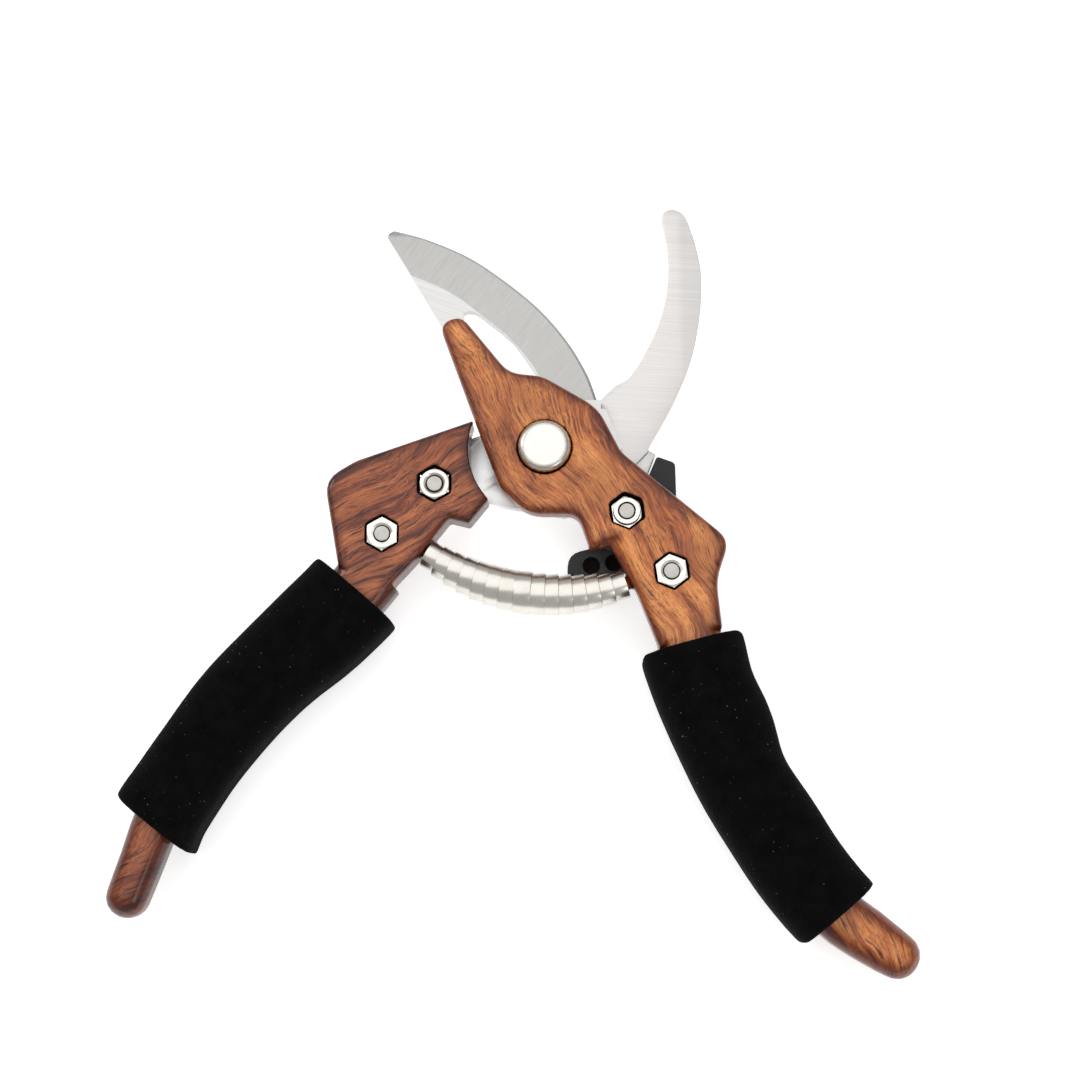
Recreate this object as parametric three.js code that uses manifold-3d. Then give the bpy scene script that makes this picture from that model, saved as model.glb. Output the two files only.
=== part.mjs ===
// Bypass pruning shears, fully open. Millimetres. The pivot axis is Z through the origin,
// the blades point along +Y and the plane where the blade slides on the hook is Z = 0.
import * as THREE from "three";
import { mergeVertices } from "three/addons/utils/BufferGeometryUtils.js";
import Module from "manifold-3d";

const wasm = await Module();
wasm.setup();

// ---- Driving dimensions ----
const GAP = 0.3; // clearance between pieces that touch
const PLATE_GAP = 0.3; // between the blade and the hook
const BLADE_THICKNESS = 2.8;
const HOOK_THICKNESS = 3.2;
const CASTING_TOP = 9.2; // height of the handles' upper face over the cutting plane
const CASTING_ROUND = 1.5; // rounding of the handles' upper edge
const SHAFT_BOTTOM = -2.8; // lower face of the handle shafts inside the grips
const SHAFT_ROUND = 4.4;
const FOAM_THICKNESS = 5; // foam over and under the shaft
const FOAM_ROUND = 7.5;
const FOLD_WIDTH = 3.2; // sloping strip along the right handle's inner edge
const FOLD_SLOPE = 0.5; // radians down towards the edge
const FOLD_RISE = 0.03; // radians up along it, so that it runs out before the grip
const COVER = 1.5; // how far a plate's edge stays inside the casting that covers it

const GRIND_WIDTH = 11.2; // ground slope behind the cutting edge
const GRIND_DEPTH = 2.3;

const BOLT_RADIUS = 1.8;
const BOLT_HEAD_RADIUS = 3.6;
const BOLT_HEAD_HEIGHT = 1.9;
const NUT_FLATS = 7;
const NUT_HEIGHT = 3.1;
const NUT_SINK = 0.3; // upper face of a nut below the casting's face
const POCKET_PLAY = 0.5; // around a nut in its hex pocket
const COLLAR_RADIUS = 3.2; // round collar of the locking nut
const COLLAR_HEIGHT = 1.4;
const DRIVE_WIDTH = 1; // screwdriver slot in a bolt head
const DRIVE_DEPTH = 0.8;
const DRIVE_TURN = 0.6;
const RIGHT_NUT_TURN = 8; // degrees that the nuts in each handle are turned
const LEFT_NUT_TURN = 0;

const PIVOT_RADIUS = 3;
const PIVOT_HEAD_RADIUS = 6.3;
const PIVOT_HEAD_HEIGHT = 3.2;
const PIVOT_HEAD_ROUND = 1.5;
const PIVOT_RECESS = 1.4;
const PIVOT_WASHER_RADIUS = 6.5;
const PIVOT_WASHER_HEIGHT = 0.8;
const PIVOT_NUT_FLATS = 10;
const PIVOT_NUT_HEIGHT = 2.2;

const LATCH_THICKNESS = 3.8;
const LATCH_DROP = 0.65; // below the blade's tang
const LATCH_WASHER_RADIUS = 4.2;
const LATCH_WASHER_HEIGHT = 0.6;
const LATCH_RECESS_RADIUS = 2.1;
const LATCH_RECESS_DEPTH = 2.4;

const SPRING_BANDS = 14;
const SPRING_ARC_RADIUS = 52;
const SPRING_END_RADIUS = 3.1;
const SPRING_MIDDLE_RADIUS = 5.1;
const SPRING_STRIP = 0.6; // thickness of the wound strip
const SPRING_Z = 4.2; // height of its arc over the cutting plane
const SPRING_FULLNESS = 0.8; // power of the sine that its barrel follows
const PEG_LENGTH = 5; // pegs that stand out of the handles into the spring
const PEG_ROOT = 3.2; // length of a peg inside its handle

const OVERLAP = 0.5; // how far the shapes of one body reach into each other
const BEYOND = 1; // how far a cutter reaches past the faces it cuts

const SMALLEST_STEP = 0.01; // finer detail is left out of the meshes
const ROUND_SEGMENTS = 24;
const SPRING_SEGMENTS = 18;
const PEG_SEGMENTS = 20;
const HOLLOW_SEGMENTS = 96;
const PLATE_SEGMENTS = 8; // of each curve along the blade and the hook
const HEAD_STEPS = 5; // facets of the pivot bolt's rounded edge
const SECTION_FACETS = 24; // facets round a handle's section, one flat on each of its sides
const BAR_STEPS = 3; // rings of a handle from one of its stations to the next
const NOSE_STEPS = 4; // rings of its round nose
const NOSE_FLAT = 0.4; // share of a ring's step left flat at the tip of the nose
const SMALLEST_FLAT = 0.5; // half of the flat that a section keeps between its corners

// ---- Heights that follow from them ----
const BLADE_BOTTOM = PLATE_GAP / 2;
const BLADE_TOP = BLADE_BOTTOM + BLADE_THICKNESS;
const HOOK_TOP = -PLATE_GAP / 2;
const HOOK_BOTTOM = HOOK_TOP - HOOK_THICKNESS;
const RIGHT_CASTING_BOTTOM = BLADE_TOP + GAP;
const LEFT_CASTING_BOTTOM = HOOK_TOP + GAP;
const LATCH_TOP = BLADE_BOTTOM - LATCH_DROP;
const LATCH_BOTTOM = LATCH_TOP - LATCH_THICKNESS;
const NUT_TOP = CASTING_TOP - NUT_SINK;
const POCKET_FLOOR = NUT_TOP - NUT_HEIGHT - GAP;
const PIVOT_RECESS_FLOOR = CASTING_TOP - PIVOT_RECESS;
const SPRING_WALL = 2 * SPRING_STRIP; // one band set inside the next
const PEG_RADIUS = SPRING_END_RADIUS - SPRING_WALL - GAP;

// ---- Places in plan ----
const LATCH_PIVOT = [19.4, -15.5];
const BLADE_BOLT = [29.8, -29.9];
const HOOK_BOLT_UPPER = [-26.1, -8.7];
const HOOK_BOLT_LOWER = [-38.4, -20.7];
const LATCH_RECESSES = [[11, -27], [16.4, -26.3]];
const SPRING_CENTRE = [3.1, 17.2]; // centre of the arc that the spring follows
const SPRING_LEFT_END = 234; // degrees round that centre
const SPRING_RIGHT_END = 287.4;

// Each station of a handle: x, y, half width of the shaft, half width of the grip.
const RIGHT_STATIONS = [
  [32.6, -40.5, 7.6, 12.0],
  [34.7, -48.5, 7.6, 12.3],
  [37.3, -57.5, 7.5, 11.7],
  [41.4, -66.9, 7.3, 11.9],
  [45.6, -78.1, 7.1, 10.7],
  [52.7, -89.6, 6.9, 11.0],
  [58.9, -99.3, 6.7, 10.8],
  [66.6, -108.6, 6.3, 10.6],
  [73.3, -113.6, 6.1, 10.4],
  [80.2, -118.3, 5.3, 10.4],
];
const LEFT_STATIONS = [
  [-40.5, -29.0, 7.6, 12.3],
  [-45.8, -35.4, 7.6, 12.0],
  [-54.0, -43.5, 7.5, 11.9],
  [-63.4, -52.0, 7.3, 11.0],
  [-72.0, -61.0, 7.2, 10.8],
  [-80.6, -72.4, 6.9, 10.2],
  [-86.1, -80.7, 6.4, 10.3],
  [-90.2, -87.4, 5.3, 10.6],
  [-93.4, -96.5, 5.0, 10.9],
  [-96.5, -105.2, 4.8, 10.9],
];
const GRIP_FIRST = 0.8; // station where the foam starts
const GRIP_LAST = 7.9; // past the cut across the foam's lower end
const RIGHT_GRIP_END = [67.1, -109.2, 130]; // point of that cut, direction it faces in degrees
const LEFT_GRIP_END = [-91.5, -88.1, 52];

// Cutting edge of the blade from its tip to its heel.
const CUTTING_EDGE = [
  [-37.3, 57], [-29.3, 54.7], [-19.4, 50.3], [-10.9, 44.6], [-1.8, 36.9], [5.2, 28.6],
  [10, 20.4], [12.4, 13.9],
];
const EDGE_LAND = 0.4; // flat of the edge left at the lower end of the ground slope

// Corners of the flat outlines: x, y, rounding radius.
const RIGHT_CASTING = [
  [-25.4, 30.6, 4.5], [-20.2, 32.9, 4.5], [-8.6, 18.5, 7], [-0.5, 17.6, 9], [12.6, 9.9, 12],
  [18.2, -1.1, 6], [43.6, -22.4, 5], [40.3, -31.9, 14], [41.5, -43.3, 0], [26.9, -48.3, 0],
  [21.4, -34.2, 8], [15.4, -23.4, 0], [10.6, -24.3, 0], [7.8, -16, 4], [-4, -16.1, 9],
  [-10.6, -9.6, 6], [-12.9, -3.5, 6],
];
const LEFT_CASTING = [
  [-44.9, -2.9, 10], [-52.4, -7.4, 6], [-49.3, -25, 8], [-48.6, -28.6, 0], [-39.6, -36.7, 0],
  [-29.9, -26.2, 6], [-22.6, -17, 0], [-17.9, -18.2, 0],
];
const LEFT_ARC_RADIUS = 18.2; // hollow of the left casting, round the pivot
const LEFT_ARC_START = 158; // degrees
const LEFT_ARC_END = 223.3;
const HOOK_DISC_RADIUS = 15.8; // round part of the hook under the right handle's head
const HOOK_STEP = [[18, -2, 0], [24.8, 1.5, 0], [26.6, 0.4, 0], [24.5, -4.9, 0], [20, -6, 0]];
const HOOK_STEP_DEPTH = 1.3; // of that lower step beside the latch
const LATCH = [
  [26.9, -0.3, 0.8], [31.3, -1.9, 1.4], [31.5, -12, 3], [26, -18, 4], [23, -25.5, 4],
  [16, -30.6, 3], [5.2, -30.6, 2], [5.4, -24.2, 4.4], [13.6, -22.2, 1.5], [13.2, -14.5, 4],
  [17.5, -9.6, 4], [23.4, -8.6, 3],
];

// ---- Shapes and solids ----
function roundedShape(corners) {
  const shape = new THREE.Shape();
  const count = corners.length;
  corners.forEach(([x, y, radius], i) => {
    const corner = new THREE.Vector2(x, y);
    const before = new THREE.Vector2(...corners[(i + count - 1) % count]).sub(corner);
    const after = new THREE.Vector2(...corners[(i + 1) % count]).sub(corner);
    const turn = Math.abs(before.angleTo(after));
    const limit = 0.48 * Math.min(before.length(), after.length());
    const reach = Math.min(radius / Math.tan(turn / 2), limit);
    const start = corner.clone().add(before.setLength(reach));
    const end = corner.clone().add(after.setLength(reach));
    if (i === 0) shape.moveTo(start.x, start.y);
    else shape.lineTo(start.x, start.y);
    if (radius > 0) shape.quadraticCurveTo(x, y, end.x, end.y);
  });
  shape.closePath();
  return shape;
}

// A bar along a handle's curve between two of its stations: a cylinder whose rings are laid
// across the curve as rounded rectangles. A domed bar ends in a round nose.
function bar(stations, first, last, widthColumn, extra, bottom, top, round, domed) {
  const spans = stations.length - 1;
  const curve = new THREE.SplineCurve(stations.map(([x, y]) => new THREE.Vector2(x, y)));
  const rings = Math.round(BAR_STEPS * (last - first));
  const allRings = rings + (domed ? NOSE_STEPS : 0);
  const height = (top - bottom) / 2;
  const halfFacet = Math.PI / SECTION_FACETS;
  const reach = 1 / Math.cos(halfFacet);
  const geometry = new THREE.CylinderGeometry(
    reach, reach, 1, SECTION_FACETS, allRings, false, halfFacet,
  );
  const position = geometry.attributes.position;
  for (let i = 0; i < position.count; i++) {
    const ring = Math.round((0.5 + position.getY(i)) * allRings);
    const station = first + (last - first) * Math.min(ring / rings, 1);
    const from = Math.min(Math.floor(station), spans - 1);
    const width = extra + THREE.MathUtils.lerp(
      stations[from][widthColumn], stations[from + 1][widthColumn], station - from,
    );
    const lean = (Math.PI / 2) * Math.max(0, (ring - rings) / (NOSE_STEPS + NOSE_FLAT));
    const corner = Math.min(round, width - SMALLEST_FLAT);
    const across = stretched(position.getX(i), width - corner, corner) * Math.cos(lean);
    const raised = stretched(position.getZ(i), height - round, round) * Math.cos(lean);
    const along = curve.getTangent(station / spans);
    const point = curve.getPoint(station / spans).addScaledVector(along, width * Math.sin(lean));
    position.setXYZ(
      i, point.x + along.y * across, point.y - along.x * across, (bottom + top) / 2 + raised,
    );
  }
  return solidOf(geometry);
}

// One coordinate of a unit circle, moved out by flat and scaled to a corner's radius.
function stretched(value, flat, radius) {
  return Math.sign(value) * flat + radius * value;
}

function solidOf(geometry) {
  const bare = new THREE.BufferGeometry();
  const source = geometry.index ? geometry.toNonIndexed() : geometry;
  bare.setAttribute("position", source.getAttribute("position"));
  const merged = mergeVertices(bare, 1e-4);
  return new wasm.Manifold(
    new wasm.Mesh({
      numProp: 3,
      vertProperties: merged.attributes.position.array,
      triVerts: new Uint32Array(merged.index.array),
    }),
  );
}

function geometryOf(solid) {
  const mesh = solid.simplify(SMALLEST_STEP).getMesh();
  const geometry = new THREE.BufferGeometry();
  geometry.setAttribute("position", new THREE.BufferAttribute(mesh.vertProperties, 3));
  geometry.setIndex(new THREE.BufferAttribute(mesh.triVerts, 1));
  geometry.computeVertexNormals();
  return geometry;
}

// A flat shape as a slab from bottom to top, its edges rounded by round.
function slab(shape, bottom, top, round = 0, curveSegments = 4) {
  const geometry = new THREE.ExtrudeGeometry(shape, {
    depth: top - bottom - 2 * round,
    bevelEnabled: round > 0,
    bevelThickness: round,
    bevelSize: round,
    bevelOffset: -round,
    bevelSegments: 3,
    curveSegments,
  });
  geometry.translate(0, 0, bottom + round);
  return solidOf(geometry);
}

// A slab whose upper edge is rounded and whose lower edge is square.
function castSlab(shape, bottom, top, round) {
  const rounded = slab(shape, bottom - 2 * round, top, round);
  return rounded.trimByPlane([0, 0, 1], bottom);
}

function disc(radius, bottom, top, [x, y] = [0, 0], segments = ROUND_SEGMENTS) {
  const geometry = new THREE.CylinderGeometry(radius, radius, top - bottom, segments);
  geometry.rotateX(Math.PI / 2).translate(x, y, (bottom + top) / 2);
  return solidOf(geometry);
}

function hexagon(flats, bottom, top, place, turn = 0) {
  const geometry = new THREE.CylinderGeometry(
    flats / Math.sqrt(3), flats / Math.sqrt(3), top - bottom, 6,
  );
  geometry.rotateX(Math.PI / 2).rotateZ(THREE.MathUtils.degToRad(turn));
  geometry.translate(place[0], place[1], (bottom + top) / 2);
  return solidOf(geometry);
}

const group = new THREE.Group();
group.name = "pruning_shears";

function place(name, solid, colour, roughness, metalness) {
  const material = new THREE.MeshStandardMaterial({ color: colour, roughness, metalness });
  const mesh = new THREE.Mesh(geometryOf(solid), material);
  mesh.name = name;
  group.add(mesh);
}

const WOOD_PRINT = [0x9a5328, 0.28, 0];
const CUTTING_STEEL = [0xb9bbb9, 0.3, 0.9];
const HOOK_STEEL = [0xd3d1cd, 0.35, 0.9];
const PLATED_STEEL = [0xd8d2c8, 0.22, 0.9];
const BLACK_FOAM = [0x0b0b0b, 0.95, 0];
const BLACK_NYLON = [0x161616, 0.6, 0];

// ---- Blade and hook ----
function bladeOutline() {
  const shape = new THREE.Shape();
  shape.moveTo(-38.8, 54.9);
  shape.lineTo(-38.5, 56.3);
  shape.lineTo(...CUTTING_EDGE[0]);
  shape.splineThru(CUTTING_EDGE.slice(1).map(([x, y]) => new THREE.Vector2(x, y)));
  shape.lineTo(13.6, 12.9);
  shape.lineTo(13.4, 10.8);
  shape.lineTo(14.6, 10.5);
  shape.lineTo(18.5, 1.1);
  shape.lineTo(18.2 - COVER, -1.1 - COVER);
  shape.lineTo(42 - COVER, -21.6 - COVER);
  shape.lineTo(39.6 - COVER, -30);
  shape.lineTo(34.5, -37.3);
  shape.lineTo(25.6, -37.8);
  shape.lineTo(21.6 + COVER, -34.2);
  shape.lineTo(15.4 + COVER, -23.8);
  shape.lineTo(12.2, -22.6);
  shape.lineTo(7.9 + COVER, -13);
  shape.lineTo(-3.4, -15.8 + COVER);
  shape.lineTo(-10.6 + COVER, -8.8);
  shape.lineTo(-12.6 + COVER, -3);
  shape.lineTo(-21.7, 25.8);
  shape.closePath();
  return shape;
}

// Opening between the blade and the strip that the handle's finger covers.
function bladeWindow() {
  const shape = new THREE.Shape();
  shape.moveTo(-19.8, 35);
  shape.quadraticCurveTo(-17.9, 36, -15.8, 34.4);
  shape.splineThru([[-7.7, 27.5], [-1.1, 18]].map(([x, y]) => new THREE.Vector2(x, y)));
  shape.lineTo(-2.4, 17.5 - COVER);
  shape.lineTo(-8.9, 17.9 - COVER);
  shape.lineTo(-19.9, 30.4);
  shape.closePath();
  return slab(shape, BLADE_BOTTOM - BEYOND, BLADE_TOP + BEYOND, 0, PLATE_SEGMENTS);
}

// Everything behind the cutting edge, sloped down to it.
function grindLimit() {
  const shape = new THREE.Shape();
  shape.moveTo(-90, 62.5);
  shape.lineTo(-52, 61);
  shape.splineThru(
    [...CUTTING_EDGE, [14.8, 2]]
      .map(([x, y]) => new THREE.Vector2(x + EDGE_LAND, y + EDGE_LAND)),
  );
  shape.lineTo(100, -20);
  shape.lineTo(100, -100);
  shape.lineTo(-90, -100);
  shape.closePath();
  const geometry = new THREE.ExtrudeGeometry(shape, {
    depth: BLADE_THICKNESS,
    bevelThickness: GRIND_DEPTH,
    bevelSize: GRIND_WIDTH,
    bevelOffset: -GRIND_WIDTH,
    bevelSegments: 1,
    curveSegments: 6,
  });
  geometry.translate(0, 0, BLADE_TOP - BLADE_THICKNESS - GRIND_DEPTH);
  return solidOf(geometry);
}

function blade() {
  const plate = slab(bladeOutline(), BLADE_BOTTOM, BLADE_TOP, 0, PLATE_SEGMENTS).subtract(bladeWindow());
  const ground = plate.intersect(grindLimit());
  const heel = CUTTING_EDGE[CUTTING_EDGE.length - 1][1] - BEYOND;
  const tang = plate.trimByPlane([0, -1, 0], -heel);
  return ground
    .add(tang)
    .subtract(disc(PIVOT_RADIUS + GAP, BLADE_BOTTOM - BEYOND, BLADE_TOP + BEYOND))
    .subtract(disc(BOLT_RADIUS + GAP, BLADE_BOTTOM - BEYOND, BLADE_TOP + BEYOND, LATCH_PIVOT))
    .subtract(disc(BOLT_RADIUS + GAP, BLADE_BOTTOM - BEYOND, BLADE_TOP + BEYOND, BLADE_BOLT));
}

function hook() {
  const shape = new THREE.Shape();
  const angle = THREE.MathUtils.degToRad;
  shape.moveTo(28.7, 59.8);
  shape.bezierCurveTo(28.6, 63, 34, 63.2, 35.2, 58.6);
  shape.splineThru(
    [[36.9, 53], [38.2, 45.1], [37.7, 34.6], [35.4, 23.6], [30.9, 12.7], [25.1, 2.4]]
      .map(([x, y]) => new THREE.Vector2(x, y)),
  );
  shape.lineTo(24.6, 0.6);
  shape.lineTo(20.6, -3.6);
  shape.absarc(0, 0, HOOK_DISC_RADIUS, angle(-20), angle(-73), true);
  shape.lineTo(-13.5, -11.9);
  shape.lineTo(-20, -12.6);
  shape.lineTo(-30.5, -19);
  shape.lineTo(-38, -27);
  shape.lineTo(-45.8, -21.8);
  shape.lineTo(-48, -13);
  shape.lineTo(-44.5, -6.5);
  shape.lineTo(-19.5, 3.7);
  shape.absarc(0, 0, HOOK_DISC_RADIUS, angle(160), angle(46), true);
  shape.lineTo(13.5, 13.8);
  shape.splineThru(
    [
      [16.9, 17.1], [20.9, 19.9], [26.2, 29.1], [29.2, 38.1], [30.2, 46.7], [29.9, 53.5],
      [28.7, 59.8],
    ]
      .map(([x, y]) => new THREE.Vector2(x, y)),
  );
  let solid = slab(shape, HOOK_BOTTOM, HOOK_TOP, 0, PLATE_SEGMENTS)
    .add(slab(roundedShape(HOOK_STEP), HOOK_BOTTOM, HOOK_TOP - HOOK_STEP_DEPTH));
  solid = solid.subtract(disc(PIVOT_RADIUS + GAP, HOOK_BOTTOM - BEYOND, HOOK_TOP + BEYOND));
  for (const bolt of [HOOK_BOLT_UPPER, HOOK_BOLT_LOWER]) {
    solid = solid.subtract(disc(BOLT_RADIUS + GAP, HOOK_BOTTOM - BEYOND, HOOK_TOP + BEYOND, bolt));
  }
  return solid;
}

// ---- Handles ----
function shaft(stations, extra) {
  const last = stations.length - 1;
  return bar(
    stations, 0, last, 2, extra, SHAFT_BOTTOM - extra, CASTING_TOP + extra, SHAFT_ROUND, true,
  );
}

function grip(stations, [x, y, degrees]) {
  const bottom = SHAFT_BOTTOM - FOAM_THICKNESS;
  const top = CASTING_TOP + FOAM_THICKNESS;
  const facing = new THREE.Vector2(1, 0).rotateAround(
    new THREE.Vector2(), THREE.MathUtils.degToRad(degrees),
  );
  return bar(stations, GRIP_FIRST, GRIP_LAST, 3, 0, bottom, top, FOAM_ROUND, false)
    .trimByPlane([facing.x, facing.y, 0], facing.dot(new THREE.Vector2(x, y)))
    .subtract(shaft(stations, GAP));
}

function nutPocket(bolt, turn) {
  return hexagon(NUT_FLATS + 2 * POCKET_PLAY, POCKET_FLOOR, CASTING_TOP + BEYOND, bolt, turn)
    .add(disc(BOLT_RADIUS + GAP, SHAFT_BOTTOM - BEYOND, CASTING_TOP, bolt));
}

// Peg that stands out of a handle into one end of the spring.
function springPeg(degrees, direction) {
  const angle = THREE.MathUtils.degToRad(degrees);
  const along = new THREE.Vector3(-Math.sin(angle), Math.cos(angle), 0).multiplyScalar(direction);
  const end = new THREE.Vector3(
    SPRING_CENTRE[0] + SPRING_ARC_RADIUS * Math.cos(angle),
    SPRING_CENTRE[1] + SPRING_ARC_RADIUS * Math.sin(angle),
    SPRING_Z,
  );
  const geometry = new THREE.CylinderGeometry(PEG_RADIUS, PEG_RADIUS, PEG_LENGTH + PEG_ROOT, PEG_SEGMENTS);
  const turn = new THREE.Quaternion().setFromUnitVectors(new THREE.Vector3(0, 1, 0), along);
  geometry.applyQuaternion(turn);
  const middle = end.addScaledVector(along, (PEG_LENGTH - PEG_ROOT) / 2);
  geometry.translate(middle.x, middle.y, middle.z);
  return solidOf(geometry);
}

function rightHandle() {
  const head = castSlab(
    roundedShape(RIGHT_CASTING), RIGHT_CASTING_BOTTOM, CASTING_TOP, CASTING_ROUND,
  );
  return head
    .add(shaft(RIGHT_STATIONS, 0))
    .add(springPeg(SPRING_RIGHT_END, -1))
    .subtract(innerFold())
    .subtract(nutPocket(LATCH_PIVOT, RIGHT_NUT_TURN))
    .subtract(nutPocket(BLADE_BOLT, RIGHT_NUT_TURN))
    .subtract(disc(PIVOT_RADIUS + GAP, RIGHT_CASTING_BOTTOM - BEYOND, CASTING_TOP))
    .subtract(disc(PIVOT_HEAD_RADIUS + GAP, PIVOT_RECESS_FLOOR, CASTING_TOP + BEYOND))
    .subtract(slab(bladeClearance(), BLADE_BOTTOM - GAP - BEYOND, RIGHT_CASTING_BOTTOM));
}

// Sloping cut along the inner edge of the right handle's face, from its notch to the grip.
function innerFold() {
  const [from, to] = [RIGHT_CASTING[11], RIGHT_CASTING[9]];
  const run = Math.hypot(to[0] - from[0], to[1] - from[1]);
  const cut = new THREE.BoxGeometry(run + 2 * BEYOND, 4 * FOLD_WIDTH, 2 * FOLD_WIDTH);
  cut.translate(run / 2, 0, FOLD_WIDTH);
  cut.rotateX(FOLD_SLOPE);
  cut.rotateY(-FOLD_RISE);
  cut.translate(0, FOLD_WIDTH, 0);
  cut.rotateZ(Math.atan2(to[1] - from[1], to[0] - from[0]));
  cut.translate(from[0], from[1], CASTING_TOP);
  return solidOf(cut);
}

// Room for the tang below the handle's head.
function bladeClearance() {
  return roundedShape([
    [-60, 60, 0], [60, 60, 0], [60, -30, 0], [42, -31, 0], [35, -38, 0], [24.5, -39.3, 0],
    [-30, -39.3, 0],
  ]);
}

function leftHandle() {
  const start = THREE.MathUtils.degToRad(LEFT_ARC_START);
  const end = THREE.MathUtils.degToRad(LEFT_ARC_END);
  const outline = roundedShape([
    [LEFT_ARC_RADIUS * Math.cos(end), LEFT_ARC_RADIUS * Math.sin(end), 0],
    [LEFT_ARC_RADIUS * Math.cos(start), LEFT_ARC_RADIUS * Math.sin(start), 0],
    ...LEFT_CASTING,
  ]);
  const head = castSlab(outline, LEFT_CASTING_BOTTOM, CASTING_TOP, CASTING_ROUND);
  return head
    .add(shaft(LEFT_STATIONS, 0))
    .add(springPeg(SPRING_LEFT_END, 1))
    .subtract(
      disc(
        LEFT_ARC_RADIUS, LEFT_CASTING_BOTTOM - BEYOND, CASTING_TOP + BEYOND, [0, 0],
        HOLLOW_SEGMENTS,
      ),
    )
    .subtract(nutPocket(HOOK_BOLT_UPPER, LEFT_NUT_TURN))
    .subtract(nutPocket(HOOK_BOLT_LOWER, LEFT_NUT_TURN));
}

// ---- Fasteners ----
// Bolt from the back, through both pieces, into a nut in its pocket.
function bolt(spot, headTop) {
  const bottom = headTop - BOLT_HEAD_HEIGHT;
  const slot = new THREE.BoxGeometry(3 * BOLT_HEAD_RADIUS, DRIVE_WIDTH, 2 * DRIVE_DEPTH);
  slot.rotateZ(DRIVE_TURN).translate(spot[0], spot[1], bottom);
  return disc(BOLT_RADIUS, headTop - OVERLAP, NUT_TOP, spot)
    .add(disc(BOLT_HEAD_RADIUS, bottom, headTop, spot))
    .subtract(solidOf(slot));
}

function nut(spot, turn) {
  return hexagon(NUT_FLATS, NUT_TOP - NUT_HEIGHT, NUT_TOP, spot, turn)
    .subtract(disc(BOLT_RADIUS + GAP, NUT_TOP - NUT_HEIGHT - BEYOND, NUT_TOP + BEYOND, spot));
}

// Locking nut: a low hexagon with a round collar on top.
function collarNut(spot, turn) {
  const shoulder = NUT_TOP - COLLAR_HEIGHT;
  return hexagon(NUT_FLATS, NUT_TOP - NUT_HEIGHT, shoulder, spot, turn)
    .add(disc(COLLAR_RADIUS, shoulder - OVERLAP, NUT_TOP, spot))
    .subtract(disc(BOLT_RADIUS + GAP, NUT_TOP - NUT_HEIGHT - BEYOND, NUT_TOP + BEYOND, spot));
}

function washer(radius, bore, bottom, height, spot) {
  return disc(radius, bottom, bottom + height, spot)
    .subtract(disc(bore, bottom - BEYOND, bottom + height + BEYOND, spot));
}

function pivotBolt(bottom) {
  const headBottom = PIVOT_RECESS_FLOOR + GAP;
  const headTop = headBottom + PIVOT_HEAD_HEIGHT;
  const profile = [[0, bottom], [PIVOT_RADIUS, bottom], [PIVOT_RADIUS, headBottom]];
  profile.push([PIVOT_HEAD_RADIUS, headBottom]);
  for (let i = 0; i <= HEAD_STEPS; i++) {
    const angle = (Math.PI / 2) * (i / HEAD_STEPS);
    profile.push([
      PIVOT_HEAD_RADIUS - PIVOT_HEAD_ROUND * (1 - Math.cos(angle)),
      headTop - PIVOT_HEAD_ROUND * (1 - Math.sin(angle)),
    ]);
  }
  profile.push([0, headTop]);
  const points = profile.map(([x, y]) => new THREE.Vector2(x, y));
  const geometry = new THREE.LatheGeometry(points, ROUND_SEGMENTS);
  geometry.rotateX(Math.PI / 2);
  return solidOf(geometry);
}

// ---- Latch ----
function latch() {
  let solid = slab(roundedShape(LATCH), LATCH_BOTTOM, LATCH_TOP);
  solid = solid.subtract(
    disc(BOLT_RADIUS + GAP, LATCH_BOTTOM - BEYOND, LATCH_TOP + BEYOND, LATCH_PIVOT),
  );
  for (const recess of LATCH_RECESSES) {
    const floor = LATCH_TOP - LATCH_RECESS_DEPTH;
    solid = solid.subtract(disc(LATCH_RECESS_RADIUS, floor, LATCH_TOP + BEYOND, recess));
  }
  return solid;
}

// ---- Spring ----
// Barrel of hollow bands, each set a little into the next, along the arc between the pegs.
function spring() {
  const span = (SPRING_RIGHT_END - SPRING_LEFT_END) / SPRING_BANDS;
  const bandLength = SPRING_ARC_RADIUS * THREE.MathUtils.degToRad(span) + SPRING_STRIP;
  let solid;
  for (let i = 0; i < SPRING_BANDS; i++) {
    const share = (i + 0.5) / SPRING_BANDS;
    const bulge = Math.sin(Math.PI * share) ** SPRING_FULLNESS;
    const outer = SPRING_END_RADIUS + (SPRING_MIDDLE_RADIUS - SPRING_END_RADIUS) * bulge;
    const inner = outer - SPRING_WALL;
    const half = bandLength / 2;
    const profile = [
      [inner, -half], [outer, -half], [outer, half], [inner, half], [inner, -half],
    ].map(([x, y]) => new THREE.Vector2(x, y));
    const angle = THREE.MathUtils.degToRad(SPRING_LEFT_END + span * (i + 0.5));
    const geometry = new THREE.LatheGeometry(profile, SPRING_SEGMENTS);
    geometry.rotateZ(angle);
    geometry.translate(
      SPRING_CENTRE[0] + SPRING_ARC_RADIUS * Math.cos(angle),
      SPRING_CENTRE[1] + SPRING_ARC_RADIUS * Math.sin(angle),
      SPRING_Z,
    );
    const band = solidOf(geometry);
    solid = solid ? solid.add(band) : band;
  }
  return solid;
}

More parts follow.
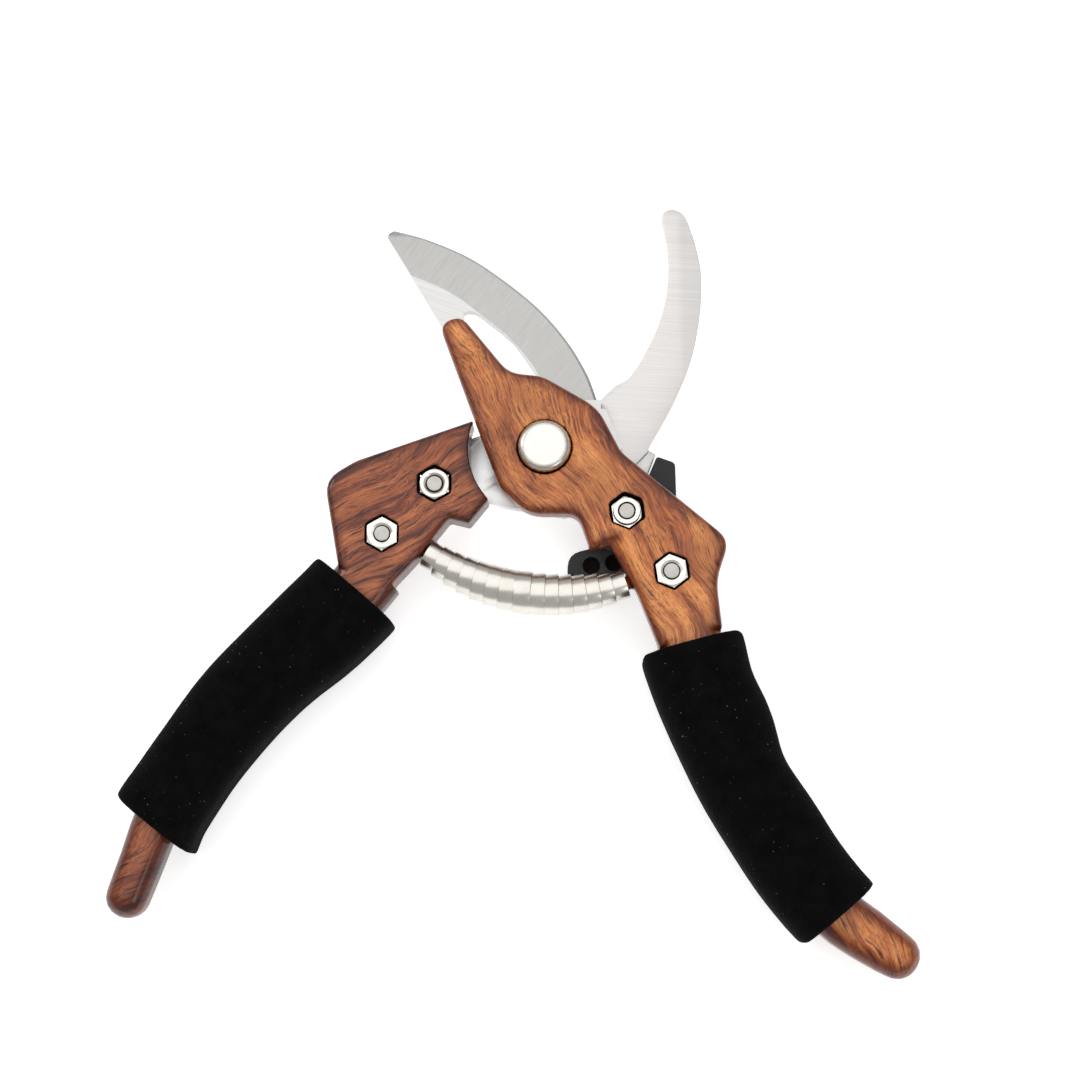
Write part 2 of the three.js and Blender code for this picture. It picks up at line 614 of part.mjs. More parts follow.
// ---- Assembly ----
place("right_handle", rightHandle(), ...WOOD_PRINT);
place("blade", blade(), ...CUTTING_STEEL);
place("right_grip", grip(RIGHT_STATIONS, RIGHT_GRIP_END), ...BLACK_FOAM);
place("blade_bolt", bolt(BLADE_BOLT, BLADE_BOTTOM - GAP), ...PLATED_STEEL);
place("blade_nut", nut(BLADE_BOLT, RIGHT_NUT_TURN), ...PLATED_STEEL);
const latchWasherBottom = LATCH_BOTTOM - GAP - LATCH_WASHER_HEIGHT;
place("latch", latch(), ...BLACK_NYLON);
place(
  "latch_washer",
  washer(LATCH_WASHER_RADIUS, BOLT_RADIUS + GAP, latchWasherBottom, LATCH_WASHER_HEIGHT, LATCH_PIVOT),
  ...PLATED_STEEL,
);
place("latch_bolt", bolt(LATCH_PIVOT, latchWasherBottom - GAP), ...PLATED_STEEL);
place("latch_nut", collarNut(LATCH_PIVOT, RIGHT_NUT_TURN), ...PLATED_STEEL);

place("left_handle", leftHandle(), ...WOOD_PRINT);
place("hook", hook(), ...HOOK_STEEL);
place("left_grip", grip(LEFT_STATIONS, LEFT_GRIP_END), ...BLACK_FOAM);
for (const [name, spot] of [["upper", HOOK_BOLT_UPPER], ["lower", HOOK_BOLT_LOWER]]) {
  place("hook_bolt_" + name, bolt(spot, HOOK_BOTTOM - GAP), ...PLATED_STEEL);
  place("hook_nut_" + name, nut(spot, LEFT_NUT_TURN), ...PLATED_STEEL);
}

const pivotWasherBottom = HOOK_BOTTOM - GAP - PIVOT_WASHER_HEIGHT;
const pivotNutBottom = pivotWasherBottom - GAP - PIVOT_NUT_HEIGHT;
place("pivot_bolt", pivotBolt(pivotNutBottom), ...PLATED_STEEL);
place(
  "pivot_washer",
  washer(PIVOT_WASHER_RADIUS, PIVOT_RADIUS + GAP, pivotWasherBottom, PIVOT_WASHER_HEIGHT, [0, 0]),
  ...PLATED_STEEL,
);
place(
  "pivot_nut",
  hexagon(PIVOT_NUT_FLATS, pivotNutBottom, pivotNutBottom + PIVOT_NUT_HEIGHT, [0, 0])
    .subtract(disc(PIVOT_RADIUS + GAP, pivotNutBottom - BEYOND, HOOK_BOTTOM)),
  ...PLATED_STEEL,
);
place("spring", spring(), ...PLATED_STEEL);

export default group;
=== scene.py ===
import math
import bpy
from mathutils import Matrix, Vector
from mathutils.kdtree import KDTree


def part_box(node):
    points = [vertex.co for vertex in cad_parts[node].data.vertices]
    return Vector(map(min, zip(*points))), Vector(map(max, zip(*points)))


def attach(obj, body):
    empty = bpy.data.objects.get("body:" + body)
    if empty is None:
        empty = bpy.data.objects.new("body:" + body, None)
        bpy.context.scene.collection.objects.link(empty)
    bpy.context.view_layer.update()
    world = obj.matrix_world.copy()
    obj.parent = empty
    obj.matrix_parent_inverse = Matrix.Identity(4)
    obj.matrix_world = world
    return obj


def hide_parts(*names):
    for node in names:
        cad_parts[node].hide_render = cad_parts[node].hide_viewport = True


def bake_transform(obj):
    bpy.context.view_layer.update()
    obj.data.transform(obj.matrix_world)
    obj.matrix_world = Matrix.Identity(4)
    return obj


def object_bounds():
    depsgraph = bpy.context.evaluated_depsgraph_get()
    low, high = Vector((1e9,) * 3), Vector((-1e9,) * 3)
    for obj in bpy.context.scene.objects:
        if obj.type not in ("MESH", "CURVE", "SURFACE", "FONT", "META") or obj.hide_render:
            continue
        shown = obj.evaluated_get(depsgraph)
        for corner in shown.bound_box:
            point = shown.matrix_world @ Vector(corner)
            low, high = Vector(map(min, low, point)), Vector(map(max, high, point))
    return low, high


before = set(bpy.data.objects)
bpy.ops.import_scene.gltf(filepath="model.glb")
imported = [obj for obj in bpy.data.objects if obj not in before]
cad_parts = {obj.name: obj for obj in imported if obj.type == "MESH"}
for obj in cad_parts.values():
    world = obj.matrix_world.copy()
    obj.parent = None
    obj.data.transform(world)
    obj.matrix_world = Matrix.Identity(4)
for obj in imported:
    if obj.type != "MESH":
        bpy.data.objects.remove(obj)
cad_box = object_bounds()

MM = 0.001
BLADE_HALF, HOOK_HALF, LATCH_BODY = "blade_half", "hook_half", "latch"
RIM = "rim_distance"  # a casting's attribute: millimetres from its rounded edge, used to paint shade along the rims


# ---- Small tools ----
def deselect_all():
    bpy.ops.object.select_all(action="DESELECT")


def make_active(piece):
    deselect_all()
    piece.select_set(True)
    bpy.context.view_layer.objects.active = piece


def modify(piece, kind, **settings):
    """Adds a modifier with these settings and applies it."""
    make_active(piece)
    modifier = piece.modifiers.new(kind.title(), kind)
    for key, value in settings.items():
        setattr(modifier, key, value)
    bpy.ops.object.modifier_apply(modifier=modifier.name)


def copy_of_node(node, name):
    """A clean copy of a node's solid, its doubles merged, to work on."""
    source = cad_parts[node]
    piece = bpy.data.objects.new(name, source.data.copy())
    bpy.context.scene.collection.objects.link(piece)
    piece.data.materials.clear()
    make_active(piece)
    bpy.ops.object.mode_set(mode="EDIT")
    bpy.ops.mesh.select_all(action="SELECT")
    bpy.ops.mesh.remove_doubles(threshold=0.005 * MM)
    bpy.ops.object.mode_set(mode="OBJECT")
    return piece


def flatten_facets(piece, degrees=1.0):
    make_active(piece)
    bpy.ops.object.mode_set(mode="EDIT")
    bpy.ops.mesh.select_all(action="SELECT")
    bpy.ops.mesh.dissolve_limited(angle_limit=math.radians(degrees))
    bpy.ops.object.mode_set(mode="OBJECT")


def smooth_by_angle(piece, degrees=35):
    make_active(piece)
    bpy.ops.object.shade_smooth_by_angle(angle=math.radians(degrees))


def middle_of(node):
    low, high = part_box(node)
    return (low[0] + high[0]) / 2, (low[1] + high[1]) / 2, low[2], high[2]


# ---- Materials ----
class Nodes:
    """A material's node tree, with short calls to add nodes and join them."""

    def __init__(self, name):
        self.material = bpy.data.materials.new(name)
        self.material.use_nodes = True
        self.tree = self.material.node_tree
        self.shader = self.tree.nodes["Principled BSDF"]

    def add(self, kind, links=(), **settings):
        node = self.tree.nodes.new(kind)
        for key, value in settings.items():
            if key in node.inputs:
                node.inputs[key].default_value = value
            else:
                setattr(node, key, value)
        for socket, source in dict(links).items():
            self.tree.links.new(source, node.inputs[socket])
        return node

    def link(self, source, socket):
        self.tree.links.new(source, self.shader.inputs[socket])

    def set(self, **values):
        for socket, value in values.items():
            self.shader.inputs[socket.replace("_", " ")].default_value = value

    def mapped(self, turn=0.0, scale=(1000, 1000, 1000)):
        """Object coordinates in millimetres, turned about Z and stretched."""
        place = self.add("ShaderNodeTexCoord").outputs["Object"]
        turned = self.add("ShaderNodeMapping", {"Vector": place}, Rotation=(0, 0, turn))
        return self.add("ShaderNodeMapping", {"Vector": turned.outputs[0]}, Scale=scale).outputs[0]

    def noise(self, vector, scale, detail=4.0, roughness=0.55, distortion=0.0):
        node = self.add(
            "ShaderNodeTexNoise", {"Vector": vector},
            Scale=scale, Detail=detail, Roughness=roughness, Distortion=distortion,
        )
        return node.outputs["Fac"]

    def ramp(self, value, stops):
        node = self.add("ShaderNodeValToRGB", {"Fac": value})
        band = node.color_ramp
        while len(band.elements) < len(stops):
            band.elements.new(0.5)
        for element, (position, colour) in zip(band.elements, stops):
            element.position = position
            element.color = colour if len(colour) == 4 else (*colour, 1)
        return node.outputs["Color"]

    def mix(self, factor, first, second, blend="MIX"):
        node = self.tree.nodes.new("ShaderNodeMix")
        node.data_type = "RGBA"
        node.blend_type = blend
        for socket, value in ((0, factor), (6, first), (7, second)):
            if isinstance(value, (int, float)):
                node.inputs[socket].default_value = value
            elif isinstance(value, tuple):
                node.inputs[socket].default_value = (*value, 1)
            else:
                self.tree.links.new(value, node.inputs[socket])
        return node.outputs[2]

    def math(self, operation, first, second=0.0):
        node = self.tree.nodes.new("ShaderNodeMath")
        node.operation = operation
        for socket, value in ((0, first), (1, second)):
            if isinstance(value, (int, float)):
                node.inputs[socket].default_value = value
            else:
                self.tree.links.new(value, node.inputs[socket])
        return node.outputs[0]

    def bump(self, height, strength, distance, normal=None):
        links = {"Height": height}
        if normal is not None:
            links["Normal"] = normal
        node = self.add("ShaderNodeBump", links, Strength=strength, Distance=distance)
        return node.outputs["Normal"]


def wood_print(name, turn, light, middle, dark):
    """Wood-grain print under clear lacquer, with painted shade darkening it along the rounded rims. turn
    lays the grain.
    """
    n = Nodes(name)
    place = n.mapped(turn)
    swirl = n.add(
        "ShaderNodeTexNoise", {"Vector": place}, Scale=0.032, Detail=2.0,
    ).outputs["Color"]
    shift = n.add("ShaderNodeVectorMath", {0: swirl}, operation="SCALE", Scale=17.0)
    wandered = n.add(
        "ShaderNodeVectorMath", {0: place, 1: shift.outputs[0]}, operation="ADD",
    ).outputs[0]
    long_grain = n.add("ShaderNodeMapping", {"Vector": wandered}, Scale=(0.07, 1.0, 0.4)).outputs[0]
    short_grain = n.add("ShaderNodeMapping", {"Vector": wandered}, Scale=(0.16, 1.6, 1.0)).outputs[0]
    bands = n.noise(long_grain, 0.28, detail=8.0, roughness=0.72)
    fibres = n.noise(long_grain, 4.6, detail=5.0, roughness=0.75)
    veins = n.noise(long_grain, 1.3, detail=7.0, roughness=0.7, distortion=0.25)
    pores = n.noise(short_grain, 1.9, detail=3.0)
    cloud = n.noise(place, 0.07, detail=2.0)
    ground = n.ramp(bands, [(0.34, dark), (0.45, middle), (0.55, light), (0.75, light)])
    vein_share = n.ramp(veins, [(0.38, (0.9, 0.9, 0.9)), (0.46, (0, 0, 0)), (1.0, (0, 0, 0))])
    fine = n.ramp(fibres, [(0.34, (0.42, 0.31, 0.27)), (0.50, (1, 1, 1)), (0.75, (1.18, 1.18, 1.18))])
    dots = n.ramp(pores, [(0.34, (0.36, 0.24, 0.20)), (0.43, (1, 1, 1)), (1.0, (1, 1, 1))])
    shade = n.ramp(cloud, [(0.36, (0.72, 0.64, 0.62)), (0.58, (1.1, 1.1, 1.1))])
    colour = n.mix(vein_share, ground, dark)
    colour = n.mix(1.0, colour, fine, "MULTIPLY")
    colour = n.mix(0.8, colour, dots, "MULTIPLY")
    colour = n.mix(1.0, colour, shade, "MULTIPLY")
    # Painted shade: the print darkens near the rounded rims, and reaches further in where the grain bands
    # are dark.
    edge = n.add("ShaderNodeAttribute", attribute_name=RIM).outputs["Fac"]
    reach = n.math("ADD", edge, n.math("MULTIPLY", n.math("SUBTRACT", bands, 0.5), 2.2))
    rim = n.ramp(
        n.math("MULTIPLY", reach, 0.25),
        [(0.10, (0.36, 0.22, 0.17)), (0.62, (1, 1, 1)), (1.0, (1, 1, 1))],
    )
    colour = n.mix(1.0, colour, rim, "MULTIPLY")
    n.link(colour, "Base Color")
    n.set(Roughness=0.5, Coat_Weight=0.55, Coat_Roughness=0.08, Specular_IOR_Level=0.2)
    orange_peel = n.noise(n.mapped(), 0.6, detail=2.0)
    n.link(n.bump(orange_peel, 0.06, 0.0003), "Normal")
    return n.material


# Painted highlight: near-white colour blended into the hook plate to the left of the pivot.
PAINTED_HIGHLIGHT = (0.97, 0.97, 0.965)
HIGHLIGHT_FADE = 4  # millimetres over which the painted highlight fades out


def brushed_steel(name, colour, turn, rough, stripe=0.12, highlight_from=None):
    """Steel with fine brush lines along local X after the turn.

    highlight_from is the X, in millimetres, to the left of which a painted highlight blends the steel's
    colour to near white.
    """
    n = Nodes(name)
    lines = n.noise(n.mapped(turn, (50, 4200, 900)), 1.0, detail=3.0, roughness=0.6)
    wide = n.noise(n.mapped(turn, (12, 900, 300)), 1.0, detail=3.0)
    nicks = n.noise(n.mapped(), 1.6, detail=2.0)
    dull = tuple(c * (1 - stripe) for c in colour)
    shade = n.ramp(lines, [(0.35, dull), (0.60, colour)])
    soft = n.ramp(wide, [(0.3, (0.94, 0.94, 0.94)), (0.7, (1, 1, 1))])
    shade = n.mix(1.0, shade, soft, "MULTIPLY")
    pits = n.ramp(nicks, [(0.24, (0.75, 0.72, 0.70)), (0.28, (1, 1, 1))])
    shade = n.mix(1.0, shade, pits, "MULTIPLY")
    # Painted highlight: the colour turns near white to the left of highlight_from.
    if highlight_from is not None:
        across = n.add("ShaderNodeSeparateXYZ", {"Vector": n.mapped()}).outputs["X"]
        highlight_share = n.add(
            "ShaderNodeMapRange", {"Value": across},
            **{"From Min": highlight_from, "From Max": highlight_from - HIGHLIGHT_FADE},
        )
        shade = n.mix(highlight_share.outputs[0], shade, PAINTED_HIGHLIGHT)
    n.link(shade, "Base Color")
    roughness = n.add(
        "ShaderNodeMapRange", {"Value": lines},
        **{"To Min": rough - 0.06, "To Max": rough + 0.1},
    )
    n.link(roughness.outputs[0], "Roughness")
    n.set(Metallic=1.0)
    n.link(n.bump(lines, 0.2, 0.00002), "Normal")
    return n.material


def plated_steel(name, bright, dull, rough):
    """Bright nickel plating with faint handling marks."""
    n = Nodes(name)
    marks = n.noise(n.mapped(), 0.35, detail=3.0, roughness=0.5)
    n.link(n.ramp(marks, [(0.3, dull), (0.6, bright)]), "Base Color")
    spread = n.add(
        "ShaderNodeMapRange", {"Value": marks}, **{"To Min": rough - 0.02, "To Max": rough + 0.03},
    )
    n.link(spread.outputs[0], "Roughness")
    n.set(Metallic=1.0)
    return n.material


def black_foam(name):
    """Closed-cell foam skin: small cells and a few pale specks of dust."""
    n = Nodes(name)
    place = n.mapped()
    cells = n.add("ShaderNodeTexVoronoi", {"Vector": place}, Scale=2.2).outputs["Distance"]
    grain = n.noise(place, 3.2, detail=5.0, roughness=0.75)
    height = n.math("ADD", n.math("MULTIPLY", cells, 0.6), grain)
    n.link(n.bump(height, 0.8, 0.0002), "Normal")
    dust = n.ramp(n.noise(place, 1.5, detail=1.5), [(0.745, (0, 0, 0)), (0.775, (0.14, 0.14, 0.14))])
    tint = n.ramp(
        n.noise(place, 0.3, detail=3.0), [(0.3, (0.0012, 0.0012, 0.0013)), (0.7, (0.0035, 0.0035, 0.0037))],
    )
    n.link(n.mix(1.0, tint, dust, "ADD"), "Base Color")
    n.set(Roughness=0.9, Specular_IOR_Level=0.07)
    return n.material


def painted_recess_shade(name):
    """Painted shade, a near-black brown with a faint mottle, for the insides of the nut pockets, the pivot
    recess and the latch holes.
    """
    n = Nodes(name)
    shade_mottle = n.noise(n.mapped(), 1.8, detail=4.0)
    n.link(n.ramp(shade_mottle, [(0.3, (0.004, 0.003, 0.003)), (0.7, (0.02, 0.012, 0.009))]), "Base Color")
    n.set(Roughness=0.8, Specular_IOR_Level=0.1)
    return n.material


def black_nylon(name):
    n = Nodes(name)
    place = n.mapped()
    grain = n.noise(place, 2.6, detail=4.0, roughness=0.7)
    scuffs = n.noise(n.mapped(0.6, (300, 1500, 800)), 1.0, detail=3.0)
    tint = n.ramp(grain, [(0.3, (0.012, 0.012, 0.013)), (0.7, (0.028, 0.028, 0.030))])
    worn = n.ramp(scuffs, [(0.62, (0, 0, 0)), (0.72, (0.03, 0.03, 0.03))])
    n.link(n.mix(1.0, tint, worn, "ADD"), "Base Color")
    n.set(Roughness=0.55, Specular_IOR_Level=0.35)
    n.link(n.bump(grain, 0.3, 0.00008), "Normal")
    return n.material


WOOD_RIGHT = wood_print(
    "wood_print_right", math.radians(62), (0.74, 0.285, 0.080), (0.52, 0.148, 0.036), (0.14, 0.026, 0.009),
)
WOOD_LEFT = wood_print(
    "wood_print_left", math.radians(-32), (0.46, 0.138, 0.044), (0.23, 0.050, 0.019), (0.034, 0.008, 0.005),
)
HOOK_STEEL = brushed_steel(
    "hook_steel", (0.70, 0.675, 0.66), math.radians(4), 0.4, 0.11, highlight_from=-8,
)
BLADE_FLAT = brushed_steel("blade_flat", (0.70, 0.695, 0.68), math.radians(20), 0.38)
BLADE_GROUND = brushed_steel("blade_ground", (0.56, 0.555, 0.54), math.radians(-58), 0.42, 0.12)
BLADE_EDGE = brushed_steel("blade_edge", (0.34, 0.34, 0.335), math.radians(-58), 0.4, 0.1)
PLATED = plated_steel("plated_steel", (0.80, 0.775, 0.72), (0.74, 0.71, 0.65), 0.2)
# Painted shade: a darker plated colour for the pivot head's sloped rim.
PIVOT_RIM_SHADE = plated_steel("pivot_rim_painted_shade", (0.60, 0.57, 0.50), (0.54, 0.51, 0.45), 0.26)
BOLT_END = plated_steel("bolt_end", (0.52, 0.50, 0.47), (0.44, 0.42, 0.39), 0.38)
SPRING_STEEL = plated_steel("spring_steel", (0.74, 0.705, 0.65), (0.69, 0.655, 0.60), 0.27)
# Painted shade material for the nut pockets, the pivot recess and the latch holes.
RECESS_SHADE = painted_recess_shade("painted_recess_shade")
FOAM = black_foam("black_foam")
NYLON = black_nylon("black_nylon")


def hand_over(piece, body, nodes, material=None):
    """The piece rides on its body in place of the nodes."""
    if material:
        piece.data.materials.append(material)
    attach(piece, body)
    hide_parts(*nodes)


# ---- Handles ----
RIM_RISE = 0.8  # a casting's face is its rim where its normal leans this far from upright
POCKET_EDGE = 0.6 * MM  # round a pocket that doesn't count as a rim


def depth_of_pocket(point, pockets, spare=0.0):
    """Depth of the pocket that a point lies in, or None."""
    for x, y, reach, depth in pockets:
        if math.hypot(point.x - x, point.y - y) < reach + spare:
            return depth
    return None


def mark_rims(piece, pockets):
    """Stores how far each point lies from the rounded edges of the casting."""
    mesh = piece.data
    upward = [vertex.normal.z for vertex in mesh.vertices]
    places = [vertex.co.copy() for vertex in mesh.vertices]
    steep = [
        i for i, rise in enumerate(upward)
        if rise < RIM_RISE and depth_of_pocket(places[i], pockets, POCKET_EDGE) is None
    ]
    tree = KDTree(len(steep))
    for i in steep:
        tree.insert(places[i], i)
    tree.balance()
    distances = [
        tree.find(place)[2] / MM if rise >= RIM_RISE else 0.0
        for place, rise in zip(places, upward)
    ]
    mesh.attributes.new(RIM, "FLOAT", "POINT").data.foreach_set("value", distances)


def cast_handle(node, body, material, pockets):
    """The casting with its edges softened. pockets are the fasteners sunk in it."""
    pockets = [(*middle_of(name)[:2], reach, depth) for name, reach, depth in pockets]
    piece = copy_of_node(node, node + "_casting")
    modify(piece, "REMESH", mode="VOXEL", voxel_size=0.4 * MM, use_smooth_shade=True)
    modify(piece, "SMOOTH", factor=0.5, iterations=4)
    hand_over(piece, body, [node], material)
    mark_rims(piece, pockets)
    # Painted shade: faces sunk below the pocket depth inside a nut pocket or the pivot recess take the dark
    # recess shade material.
    piece.data.materials.append(RECESS_SHADE)
    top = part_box(node)[1][2]
    for face in piece.data.polygons:
        depth = depth_of_pocket(face.center, pockets)
        if depth is not None and face.center.z < top - depth:
            face.material_index = 1


def foam_grip(node, body):
    piece = copy_of_node(node, node + "_foam")
    modify(piece, "REMESH", mode="VOXEL", voxel_size=0.7 * MM, use_smooth_shade=True)
    modify(piece, "SMOOTH", factor=0.5, iterations=20)
    hand_over(piece, body, [node], FOAM)


# ---- Blade, hook and latch ----
def rounded_edges(node, name, width, steps):
    """A node's solid with its sharp edges broken."""
    piece = copy_of_node(node, name)
    flatten_facets(piece)
    modify(
        piece, "BEVEL", width=width, segments=steps, limit_method="ANGLE",
        angle_limit=math.radians(40),
    )
    smooth_by_angle(piece, 32)
    return piece


def blade_plate():
    """The blade with its fine second bevel along the cutting edge."""
    piece = copy_of_node("blade", "blade_plate")
    flatten_facets(piece)
    make_active(piece)
    bpy.ops.object.mode_set(mode="EDIT")
    bpy.ops.mesh.select_all(action="DESELECT")
    bpy.ops.object.mode_set(mode="OBJECT")
    mesh = piece.data
    sloped = {}
    upright = {}
    for face in mesh.polygons:
        kept = sloped if 0.9 < face.normal.z < 0.9995 else upright
        if kept is sloped or abs(face.normal.z) < 0.1:
            for key in face.edge_keys:
                kept[key] = True
    for edge in mesh.edges:
        pair = tuple(sorted(edge.vertices))
        height = max(mesh.vertices[v].co.z for v in pair)
        edge.select = pair in sloped and pair in upright and height < 1.2 * MM
    bpy.ops.object.mode_set(mode="EDIT")
    bpy.ops.mesh.select_mode(type="EDGE")
    bpy.ops.mesh.bevel(offset=0.7 * MM, segments=1, affect="EDGES")
    bpy.ops.object.mode_set(mode="OBJECT")
    smooth_by_angle(piece, 12)
    hand_over(piece, BLADE_HALF, ["blade"], BLADE_FLAT)
    mesh.materials.append(BLADE_GROUND)
    mesh.materials.append(BLADE_EDGE)
    for face in mesh.polygons:
        if 0.9 < face.normal.z < 0.9995:
            face.material_index = 1
        elif 0.2 < face.normal.z <= 0.9:
            face.material_index = 2


def latch_moulding():
    piece = rounded_edges("latch", "latch_moulding", 0.35 * MM, 3)
    hand_over(piece, LATCH_BODY, ["latch"], NYLON)
    # Painted shade: upward faces more than 0.6 mm below the latch top, the floors of its holes, take the
    # dark recess shade material.
    piece.data.materials.append(RECESS_SHADE)
    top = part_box("latch")[1][2]
    for face in piece.data.polygons:
        if face.normal.z > 0.9 and face.center.z < top - 0.6 * MM:
            face.material_index = 1


# ---- Nuts, bolts and washers ----
def cut_with(piece, cutter, operation):
    modify(piece, "BOOLEAN", operation=operation, object=cutter, solver="EXACT")
    bpy.data.objects.remove(cutter)


def cone_tool(x, y, low, high, low_radius, high_radius):
    deselect_all()
    bpy.ops.mesh.primitive_cone_add(
        vertices=72, radius1=low_radius, radius2=high_radius, depth=high - low,
        location=(x, y, (low + high) / 2),
    )
    tool = bpy.context.active_object
    bpy.ops.object.transform_apply(location=True, rotation=True, scale=True)
    return tool


def chamfered_nut(node, body, crown):
    """A nut whose corners are turned off to the crown radius, with a countersunk bore."""
    x, y, low, high = middle_of(node)
    piece = copy_of_node(node, node + "_plated")
    flatten_facets(piece)
    depth = high - low + 1 * MM
    turned = cone_tool(x, y, high - depth, high + 0.02 * MM, crown + depth * 1.6, crown)
    cut_with(piece, turned, "INTERSECT")
    sink = cone_tool(x, y, high - 0.5 * MM, high + 0.1 * MM, 2.0 * MM, 2.7 * MM)
    cut_with(piece, sink, "DIFFERENCE")
    modify(piece, "BEVEL", width=0.08 * MM, segments=2, limit_method="ANGLE",
           angle_limit=math.radians(25))
    smooth_by_angle(piece, 20)
    hand_over(piece, body, [node], PLATED)


def fastener(node, body, edge, finish=PLATED):
    piece = rounded_edges(node, node + "_plated", edge, 3)
    hand_over(piece, body, [node], finish)


def domed_pivot():
    """The pivot bolt, its sloped rim given painted shade: a darker, slightly rougher plating than the flat
    of its head.
    """
    piece = rounded_edges("pivot_bolt", "pivot_bolt_plated", 0.15 * MM, 3)
    hand_over(piece, BLADE_HALF, ["pivot_bolt"], PLATED)
    piece.data.materials.append(PIVOT_RIM_SHADE)
    for face in piece.data.polygons:
        if 0.1 < face.normal.z < 0.99:
            face.material_index = 1


# ---- Spring ----
SPRING_BANDS = 15
SPRING_CENTRE = Vector((3.1, 17.2, 4.2)) * MM
SPRING_ARC_RADIUS = 52 * MM
SPRING_LEFT_END = math.radians(234)
SPRING_RIGHT_END = math.radians(287.4)
SPRING_END_RADIUS = 3.1 * MM
SPRING_MIDDLE_RADIUS = 5.1 * MM
SPRING_STRIP = 0.22 * MM
BAND_LEAN = math.radians(3)


def on_spring(share):
    angle = SPRING_LEFT_END + (SPRING_RIGHT_END - SPRING_LEFT_END) * share
    arm = Vector((math.cos(angle), math.sin(angle), 0))
    return angle, SPRING_CENTRE + SPRING_ARC_RADIUS * arm


def band_of_strip(length, lower_radius):
    """One turn of the wound strip, drawn in to lower_radius where the next turn covers it."""
    deselect_all()
    bpy.ops.mesh.primitive_cone_add(
        vertices=64, radius1=lower_radius, radius2=SPRING_MIDDLE_RADIUS, depth=length,
        end_fill_type="NOTHING",
    )
    band = bpy.context.active_object
    modify(band, "SOLIDIFY", thickness=SPRING_STRIP, offset=-1)
    modify(band, "BEVEL", width=0.07 * MM, segments=2, limit_method="ANGLE",
           angle_limit=math.radians(50))
    return band


def wound_spring():
    """Bands copied along the arc, each set over the next one towards either end."""
    pitch = SPRING_ARC_RADIUS * (SPRING_RIGHT_END - SPRING_LEFT_END) / SPRING_BANDS
    side_band = band_of_strip(1.3 * pitch, SPRING_MIDDLE_RADIUS - 0.3 * MM)
    middle_band = band_of_strip(1.2 * pitch, SPRING_MIDDLE_RADIUS)
    bands = []
    for i in range(SPRING_BANDS):
        share = (i + 0.5) / SPRING_BANDS
        angle, place = on_spring(share)
        swell = math.sin(math.pi * share) ** 0.8
        radius = SPRING_END_RADIUS + (SPRING_MIDDLE_RADIUS - SPRING_END_RADIUS) * swell
        size = radius / SPRING_MIDDLE_RADIUS
        pattern = middle_band if 2 * i + 1 == SPRING_BANDS else side_band
        band = pattern.copy()
        band.data = pattern.data.copy()
        bpy.context.scene.collection.objects.link(band)
        facing = math.pi if 2 * i + 1 < SPRING_BANDS else 0
        band.matrix_world = (
            Matrix.Translation(place)
            @ Matrix.Rotation(angle + facing + BAND_LEAN, 4, "Z")
            @ Matrix.Rotation(-math.pi / 2, 4, "X")
            @ Matrix.Diagonal((size, size, 1, 1))
        )
        bands.append(band)
    bpy.data.objects.remove(side_band)
    bpy.data.objects.remove(middle_band)
    deselect_all()
    for band in bands:
        band.select_set(True)
    bpy.context.view_layer.objects.active = bands[0]
    bpy.ops.object.transform_apply(location=True, rotation=True, scale=True)
    bpy.ops.object.join()
    spring = bpy.context.active_object
    spring.name = "spring_strip"
    smooth_by_angle(spring, 40)
    spring.data.materials.append(SPRING_STEEL)
    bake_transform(spring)
    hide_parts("spring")


# ---- The pieces, half by half ----
POCKET_REACH, POCKET_DEPTH = 4.9 * MM, 0.3 * MM
NUT_CROWN = 3.3 * MM
cast_handle("right_handle", BLADE_HALF, WOOD_RIGHT, [
    ("blade_nut", POCKET_REACH, POCKET_DEPTH), ("latch_nut", POCKET_REACH, POCKET_DEPTH),
    ("pivot_bolt", 6.75 * MM, 0.6 * MM),
])
cast_handle("left_handle", HOOK_HALF, WOOD_LEFT, [
    ("hook_nut_upper", POCKET_REACH, POCKET_DEPTH), ("hook_nut_lower", POCKET_REACH, POCKET_DEPTH),
])
foam_grip("right_grip", BLADE_HALF)
foam_grip("left_grip", HOOK_HALF)
blade_plate()
hand_over(
    rounded_edges("hook", "hook_plate", 0.2 * MM, 2), HOOK_HALF, ["hook"], HOOK_STEEL,
)
latch_moulding()
chamfered_nut("blade_nut", BLADE_HALF, NUT_CROWN)
chamfered_nut("hook_nut_upper", HOOK_HALF, NUT_CROWN)
chamfered_nut("hook_nut_lower", HOOK_HALF, NUT_CROWN)
for node in ("latch_nut", "pivot_nut", "pivot_washer", "latch_washer"):
    fastener(node, BLADE_HALF, 0.2 * MM)
for node in ("blade_bolt", "latch_bolt"):
    fastener(node, BLADE_HALF, 0.4 * MM, BOLT_END)
for node in ("hook_bolt_upper", "hook_bolt_lower"):
    fastener(node, HOOK_HALF, 0.4 * MM, BOLT_END)
domed_pivot()
wound_spring()


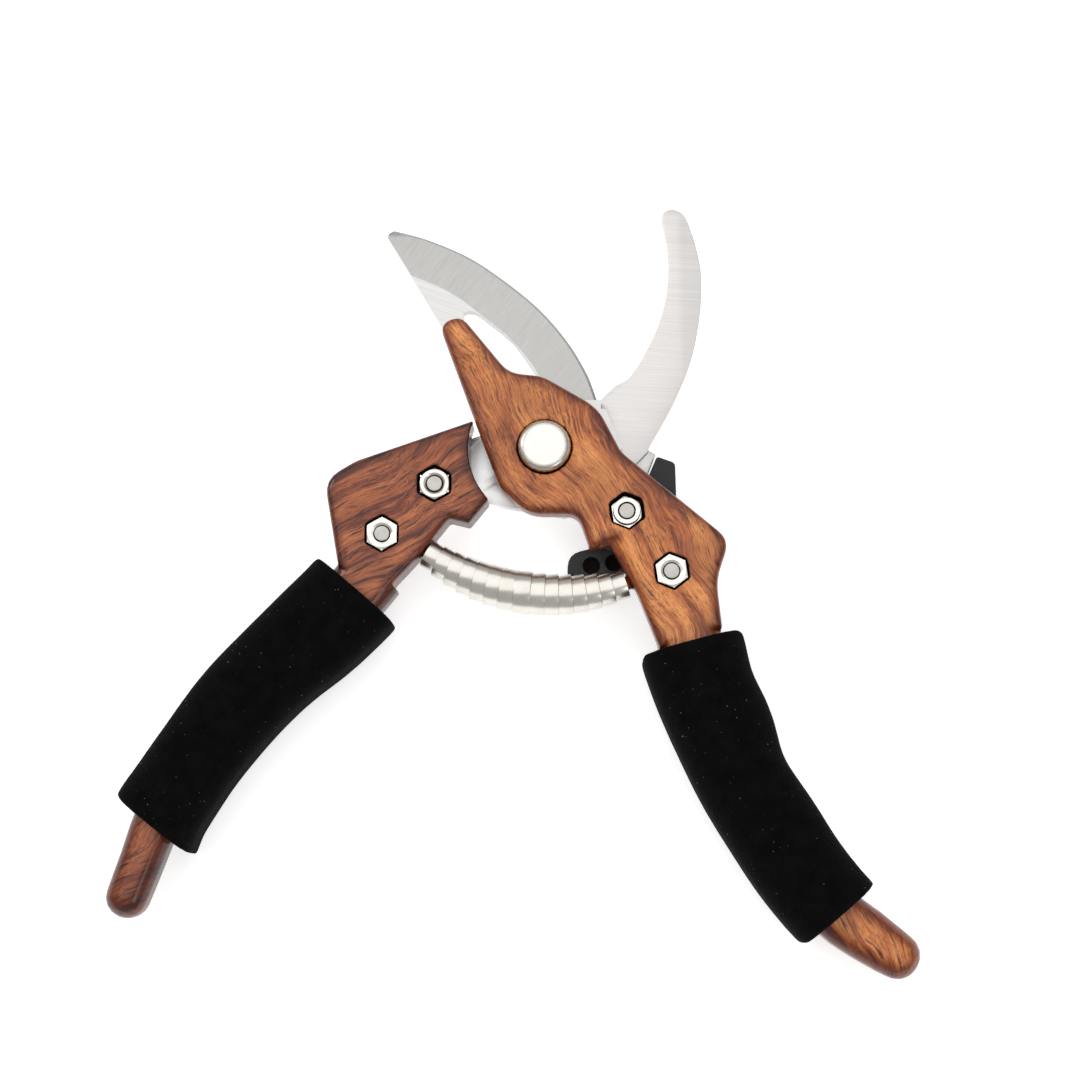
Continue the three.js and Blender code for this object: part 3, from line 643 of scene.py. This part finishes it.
# ---- Floor, light and camera ----
def studio():
    low = cad_box[0]
    deselect_all()
    bpy.ops.mesh.primitive_plane_add(size=8, location=(0, 0, low[2] - 0.4 * MM))
    floor = bpy.context.active_object
    floor.name = "floor"
    n = Nodes("pale_floor")
    n.set(
        Base_Color=(0.90, 0.90, 0.90, 1), Roughness=0.9, Specular_IOR_Level=0.1,
        Emission_Color=(1, 1, 1, 1), Emission_Strength=0.55,
    )
    floor.data.materials.append(n.material)
    world = bpy.data.worlds.new("studio")
    bpy.context.scene.world = world
    world.use_nodes = True
    backdrop = world.node_tree.nodes["Background"]
    backdrop.inputs["Color"].default_value = (1, 1, 1, 1)
    backdrop.inputs["Strength"].default_value = 0.48
    lights = [
        ("overhead_box", (-0.02, 0.30, 0.95), 1.4, 5.6),
        ("side_box", (-0.6, 0.3, 0.5), 0.3, 1.1),
        ("front_box", (0.45, -0.5, 0.55), 0.3, 0.6),
    ]
    for name, place, size, power in lights:
        data = bpy.data.lights.new(name, "AREA")
        data.size = size
        data.energy = power
        lamp = bpy.data.objects.new(name, data)
        lamp.location = place
        lamp.rotation_euler = (-Vector(place)).to_track_quat("-Z", "Y").to_euler()
        bpy.context.scene.collection.objects.link(lamp)


CAMERA_DISTANCE = 0.480
CAMERA_TARGET = Vector((-0.0005, -0.02234, 0.003))
CAMERA_AZIMUTH = math.radians(7)
CAMERA_ELEVATION = math.radians(79.4)


def camera():
    data = bpy.data.cameras.new("camera")
    data.sensor_fit = "VERTICAL"
    data.sensor_height = 36
    data.lens = 66.73
    data.clip_start = 0.01
    eye = bpy.data.objects.new("camera", data)
    back = Vector((
        math.sin(CAMERA_AZIMUTH) * math.cos(CAMERA_ELEVATION),
        -math.cos(CAMERA_AZIMUTH) * math.cos(CAMERA_ELEVATION),
        math.sin(CAMERA_ELEVATION),
    ))
    across = Vector((0, 1, 0)).cross(back).normalized()
    up = back.cross(across)
    turn = Matrix((across, up, back)).transposed().to_4x4()
    eye.matrix_world = Matrix.Translation(CAMERA_TARGET + CAMERA_DISTANCE * back) @ turn
    bpy.context.scene.collection.objects.link(eye)
    bpy.context.scene.camera = eye


studio()
camera()
bpy.context.scene.view_settings.view_transform = "Standard"
